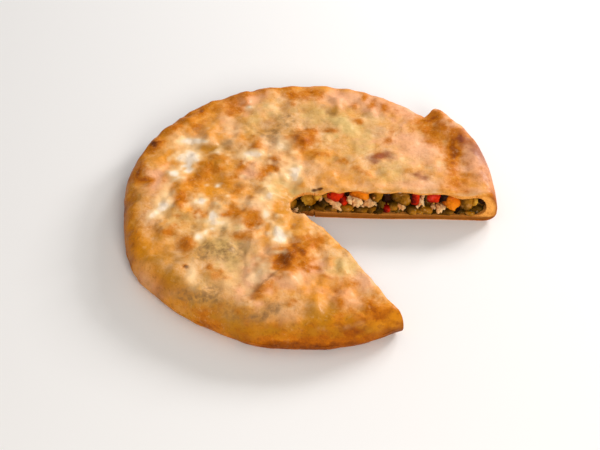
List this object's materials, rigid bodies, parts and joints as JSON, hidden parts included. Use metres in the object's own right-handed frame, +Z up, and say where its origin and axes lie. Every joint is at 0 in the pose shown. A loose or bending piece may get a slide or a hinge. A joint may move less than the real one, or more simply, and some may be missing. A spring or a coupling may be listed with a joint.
{
  "type": "cheese pie",
  "caption": "Flat round closed pie of golden dough with a cheese and diced vegetable filling, cut, with a wedge missing and the slice beside the gap slid out of line.",
  "frame": {"origin": "middle of the outer box, on the level of the flat base", "axes": "+Z up, the base on Z = 0; +X to the right as the pie is shown, along the front of the cut slice; +Y to the back"},
  "size_m": [0.3062, 0.3018, 0.0334],
  "materials": {
    "crust": "baked dough brushed with butter, golden with brown blotches",
    "filling": "moist diced vegetables with white curd cheese"
  },
  "bodies": {
    "root": {"crust": "crust", "filling": "filling", "slice_crust": "crust", "slice_filling": "filling"}
  },
  "joints": []
}
